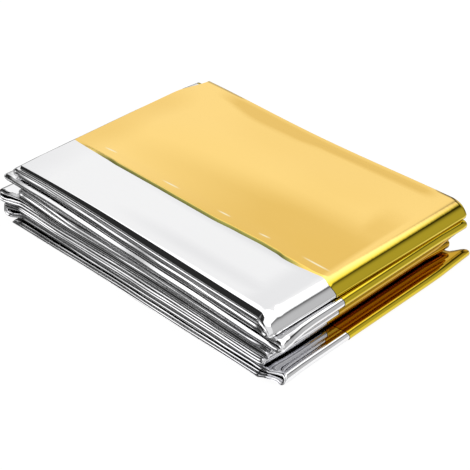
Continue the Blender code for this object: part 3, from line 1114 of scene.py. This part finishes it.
    def flat_size(self) -> tuple[float, float]:
        """The modelled film's length and width before it was folded, in metres."""
        points = self.build_grid()
        middle = points[:, points.shape[1] // 3]
        length = np.linalg.norm(np.diff(middle, axis=0), axis=1).sum()
        return float(length) * MM, self.section.flat_width() * MM


@dataclass
class Nodes:
    """The nodes of one material or sky, each made, set and linked in one line."""

    tree: bpy.types.NodeTree

    def add(
        self, kind: str, inputs: dict[str | int, object] | None = None, **settings: object
    ) -> bpy.types.Node:
        """A new node.

        Args:
            kind: its type, without the word that all shader nodes' types begin with.
            inputs: what goes into its inputs, by name or number: a socket, or a plain value.
            settings: its own settings.

        Returns:
            The node.
        """
        node = self.tree.nodes.new("ShaderNode" + kind)
        for name, value in settings.items():
            setattr(node, name, value)
        for key, value in (inputs or {}).items():
            if isinstance(value, Socket):
                self.tree.links.new(value, node.inputs[key])
            else:
                node.inputs[key].default_value = value
        return node

    def share(self, name: str) -> Socket:
        """A share that the mesh carries."""
        return self.add("Attribute", attribute_name=name).outputs["Fac"]

    def noise(self, place: Socket, scale: float, detail: float) -> Socket:
        """Soft noise at a place."""
        return self.add("TexNoise", {"Vector": place, "Scale": scale, "Detail": detail}).outputs["Fac"]

    def stretched(
        self, value: Socket, given: tuple[float, float], wanted: tuple[float, float]
    ) -> Socket:
        """A value between the given limits brought to between the wanted ones."""
        names = ("From Min", "From Max", "To Min", "To Max")
        limits = dict(zip(names, (*given, *wanted)))
        return self.add("MapRange", {"Value": value, **limits}).outputs["Result"]

    def tint(self, share: Socket, first: Socket | Tint, second: Tint) -> Socket:
        """A tint that goes from the first to the second with a share."""
        start = first if isinstance(first, Socket) else (*first, 1.0)
        inputs = {"Factor": share, "A": start, "B": (*second, 1.0)}
        return self.add("Mix", inputs, data_type="RGBA").outputs["Result"]


@dataclass(frozen=True)
class FilmFinish:
    """A bright metallised face of the film, a little uneven in tint, gloss and flatness.

    The light and deep tints drift into each other over a few centimetres, and the painted shade bands
    push them towards the deep one. The fold, recess and lip tints are painted shade on the gold, and the
    crease tint is a painted highlight; they take over where the mesh says so. The roughness drifts between
    its two limits.
    """

    name: str
    light: Tint
    # the tint that the painted shade bands and the random drift lead to
    deep: Tint
    # the bends' tint: painted shade on the gold, a darker and more olive tint
    fold: Tint
    # painted shade in the recess under the top bend
    recess: Tint
    # painted highlight on the flap's short raised creases
    crease: Tint
    # painted shade along the flap's rolled free edge; it is rougher there too
    lip: Tint
    lip_roughness: float = 0.34
    roughness: tuple[float, float] = (0.03, 0.07)
    stretch: Tint = (0.45, 1.0, 1.0)
    drift: float = 0.16
    drift_scale: float = 26.0
    drift_detail: float = 1.0
    drift_limits: tuple[float, float] = (0.35, 0.65)
    gloss_finer: float = 4.0
    gloss_detail: float = 2.0
    gloss_limits: tuple[float, float] = (0.3, 0.7)
    crinkle_scale: float = 260.0
    crinkle_detail: float = 3.0
    crinkle_depth: float = 0.00002

    def material(self) -> bpy.types.Material:
        """The finish as a material."""
        material = bpy.data.materials.new(self.name)
        material.use_nodes = True
        nodes = Nodes(material.node_tree)
        shader = nodes.tree.nodes["Principled BSDF"]
        shader.inputs["Metallic"].default_value = 1.0
        object_place = nodes.add("TexCoord").outputs["Object"]
        mapping = nodes.add("Mapping", {"Vector": object_place, "Scale": self.stretch})
        place = mapping.outputs["Vector"]
        drift = nodes.noise(place, self.drift_scale, self.drift_detail)
        drifted = nodes.stretched(drift, self.drift_limits, (-self.drift, self.drift))
        # the painted shade bands from the mesh, plus a random drift, deepen the tint
        both = {0: nodes.share("painted_shade"), 1: drifted}
        depth = nodes.add("Math", both, operation="ADD", use_clamp=True)
        tint = nodes.tint(depth.outputs[0], self.light, self.deep)
        # painted shade on the bends, in the recess and on the lip, and a painted highlight on the creases
        for name, tone in (
            ("bend_shade", self.fold),
            ("recess_shade", self.recess),
            ("crease_highlight", self.crease),
            ("shaded_lip", self.lip),
        ):
            tint = nodes.tint(nodes.share(name), tint, tone)
        gloss = nodes.noise(place, self.gloss_finer * self.drift_scale, self.gloss_detail)
        rough = nodes.stretched(gloss, self.gloss_limits, self.roughness)
        on_lip = {"Factor": nodes.share("shaded_lip"), "A": rough, "B": self.lip_roughness}
        rolled = nodes.add("Mix", on_lip)
        crinkle = nodes.noise(place, self.crinkle_scale, self.crinkle_detail)
        bump = nodes.add("Bump", {"Strength": 1.0, "Distance": self.crinkle_depth, "Height": crinkle})
        link = nodes.tree.links.new
        link(tint, shader.inputs["Base Color"])
        link(rolled.outputs["Result"], shader.inputs["Roughness"])
        link(bump.outputs["Normal"], shader.inputs["Normal"])
        return material


@dataclass(frozen=True)
class Panel:
    """A soft round patch of sky: its middle as azimuth and elevation, its rims and its strength.

    The azimuth is measured from +Y towards +X. The patch has its full strength inside the inner rim
    and none outside the outer one. All are in degrees.
    """

    azimuth: float
    elevation: float
    inner: float
    outer: float
    strength: float

    def axis(self) -> Vector:
        """The direction of the patch's middle."""
        turn, rise = math.radians(self.azimuth), math.radians(self.elevation)
        flat = math.cos(rise)
        return Vector((math.sin(turn) * flat, math.cos(turn) * flat, math.sin(rise)))

    def patch(self, nodes: Nodes, towards: Socket) -> Socket:
        """The patch's strength in the direction looked at."""
        both = {0: towards, 1: self.axis()}
        dot = nodes.add("VectorMath", both, operation="DOT_PRODUCT").outputs["Value"]
        limits = {
            "From Min": math.cos(math.radians(self.outer)),
            "From Max": math.cos(math.radians(self.inner)),
            "To Max": self.strength,
        }
        patch = nodes.add("MapRange", {"Value": dot, **limits}, interpolation_type="SMOOTHSTEP")
        return patch.outputs["Result"]


SKY_PANELS = (
    Panel(0.0, 90.0, 40.0, 49.0, 1.9),
    Panel(-46.0, 43.0, 15.0, 26.0, 1.24),
    Panel(-46.0, 22.0, 8.0, 22.0, 0.80),
    Panel(52.0, 14.0, 7.0, 36.0, 0.66),
    Panel(0.0, 14.0, 12.0, 26.0, 0.95),
    Panel(95.0, 22.0, 20.0, 36.0, 0.95),
    Panel(135.0, 28.0, 26.0, 42.0, 1.05),
    Panel(180.0, 22.0, 10.0, 24.0, 0.95),
    Panel(-90.0, 18.0, 10.0, 24.0, 0.95),
)


def grey(level: float) -> tuple[float, float, float, float]:
    """A plain grey."""
    return (level, level, level, 1.0)


@dataclass
class Studio:
    """A plain pale floor, a soft studio sky and the camera."""

    azimuth: float = 44.523
    elevation: float = 34.424
    distance: float = 0.51690
    target: tuple[float, float, float] = (-0.001311, 0.004537, 0.0)
    focal_px: float = 1450.0
    frame_px: float = 470.0
    clip: tuple[float, float] = (0.01, 50.0)
    floor_side: float = 6.0
    sky_glow: float = 0.03
    backdrop: float = 0.97
    floor_glow: float = 0.95
    floor_paper: float = 0.08
    floor_grey: float = 0.26
    floor_lights: tuple[tuple[float, float], ...] = (
        (0.060, 0.0),
        (0.070, 0.80),
        (0.082, 0.80),
        (0.105, 0.22),
    )
    floor_span: float = 0.2

    def camera(self) -> bpy.types.Object:
        """The camera, at a three-quarter view from the front right."""
        data = bpy.data.cameras.new("camera")
        data.lens = self.focal_px / self.frame_px * data.sensor_width
        data.clip_start, data.clip_end = self.clip
        camera = bpy.data.objects.new("camera", data)
        turn, rise = math.radians(self.azimuth), math.radians(self.elevation)
        back = Vector(
            (math.sin(turn) * math.cos(rise), -math.cos(turn) * math.cos(rise), math.sin(rise))
        )
        camera.location = Vector(self.target) + back * self.distance
        camera.rotation_mode = "QUATERNION"
        camera.rotation_quaternion = (-back).to_track_quat("-Z", "Y")
        bpy.context.scene.collection.objects.link(camera)
        bpy.context.scene.camera = camera
        return camera

    def floor(self) -> bpy.types.Object:
        """A pale floor: near white to look at, grey in what the film mirrors."""
        half = self.floor_side / 2
        corner_places = [(-half, -half, 0), (half, -half, 0), (half, half, 0), (-half, half, 0)]
        mesh = bpy.data.meshes.new("floor")
        mesh.from_pydata(corner_places, [], [(0, 1, 2, 3)])
        floor = bpy.data.objects.new("floor", mesh)
        bpy.context.scene.collection.objects.link(floor)
        material = bpy.data.materials.new("floor_paper")
        material.use_nodes = True
        nodes = Nodes(material.node_tree)
        nodes.tree.nodes.clear()
        glow = nodes.add("Emission", {"Strength": self.floor_glow})
        paper = nodes.add("BsdfDiffuse", {"Color": grey(self.floor_paper)})
        seen = nodes.add("AddShader", {0: glow.outputs[0], 1: paper.outputs[0]})
        place = nodes.add("TexCoord").outputs["Object"]
        parts = nodes.add("SeparateXYZ", {0: place})
        along = nodes.add("MapRange", {"From Max": self.floor_span, "Value": parts.outputs["X"]})
        lights = nodes.add("ValToRGB", {"Fac": along.outputs["Result"]})
        lights.color_ramp.interpolation = "EASE"
        stops = lights.color_ramp.elements
        while len(stops) < len(self.floor_lights):
            stops.new(1.0)
        for stop, (place_x, light) in zip(stops, self.floor_lights):
            stop.position = place_x / self.floor_span
            stop.color = grey(light)
        lit = nodes.add("Emission", {"Color": lights.outputs["Color"]})
        dull = nodes.add("BsdfDiffuse", {"Color": grey(self.floor_grey)})
        mirrored = nodes.add("AddShader", {0: dull.outputs[0], 1: lit.outputs[0]})
        direct = nodes.add("LightPath").outputs["Is Camera Ray"]
        shown = nodes.add("MixShader", {0: direct, 1: mirrored.outputs[0], 2: seen.outputs[0]})
        nodes.add("OutputMaterial", {"Surface": shown.outputs[0]})
        mesh.materials.append(material)
        return floor

    def sky(self) -> bpy.types.World:
        """A soft sky of a few bright panels, and an even pale backdrop behind the pack."""
        world = bpy.data.worlds.new("studio")
        bpy.context.scene.world = world
        world.use_nodes = True
        nodes = Nodes(world.node_tree)
        nodes.tree.nodes.clear()
        place = nodes.add("TexCoord").outputs["Generated"]
        towards = nodes.add("VectorMath", {0: place}, operation="NORMALIZE").outputs[0]
        strength: Socket | float = self.sky_glow
        for panel in SKY_PANELS:
            both = {0: panel.patch(nodes, towards), 1: strength}
            strength = nodes.add("Math", both, operation="MAXIMUM").outputs[0]
        direct = nodes.add("LightPath").outputs["Is Camera Ray"]
        shown = nodes.add("Mix", {0: direct, 2: strength, 3: self.backdrop})
        background = nodes.add("Background", {"Strength": shown.outputs[0]})
        nodes.add("OutputWorld", {"Surface": background.outputs[0]})
        return world

    def build(self) -> None:
        """Sets up the whole studio."""
        self.camera()
        self.floor()
        self.sky()
        view = bpy.context.scene.view_settings
        view.view_transform = "Standard"
        view.look = "None"


def main() -> None:
    """Builds the studio and the film."""
    logging.basicConfig(level=logging.INFO, format="%(name)s: %(message)s")
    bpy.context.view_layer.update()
    Studio().build()
    sheet = FilmSheet()
    film = sheet.build()
    silver = FilmFinish(
        "silver_film",
        light=(0.90, 0.90, 0.905),
        deep=(0.80, 0.80, 0.81),
        # the bend, recess, crease and lip tints below are painted light and shade, as on the gold
        fold=(0.93, 0.93, 0.94),
        recess=(0.80, 0.80, 0.82),
        crease=(0.95, 0.95, 0.955),
        lip=(0.93, 0.93, 0.94),
    )
    gold = FilmFinish(
        "gold_film",
        light=(1.0, 0.695, 0.215),
        # deep gold: where the top's painted shade bands and the drift take it
        deep=(0.83, 0.535, 0.123),
        # painted shade on the bends and below: a darker, more olive gold
        fold=(0.74, 0.56, 0.035),
        # painted shade in the recess under the top bend: a darker brown
        recess=(0.60, 0.34, 0.02),
        # painted highlight on the flap's creases: a pale gold
        crease=(1.0, 0.93, 0.66),
        # painted shade along the flap's rolled free edge: a dark olive grey
        lip=(0.30, 0.30, 0.08),
    )
    film.data.materials.append(silver.material())
    film.data.materials.append(gold.material())
    length, width = sheet.flat_size()
    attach(film, "root")
    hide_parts(NODE)
    log.info("film: %d faces, flat %.3f x %.3f m", len(film.data.polygons), width, length)


if __name__ == "__main__":
    main()
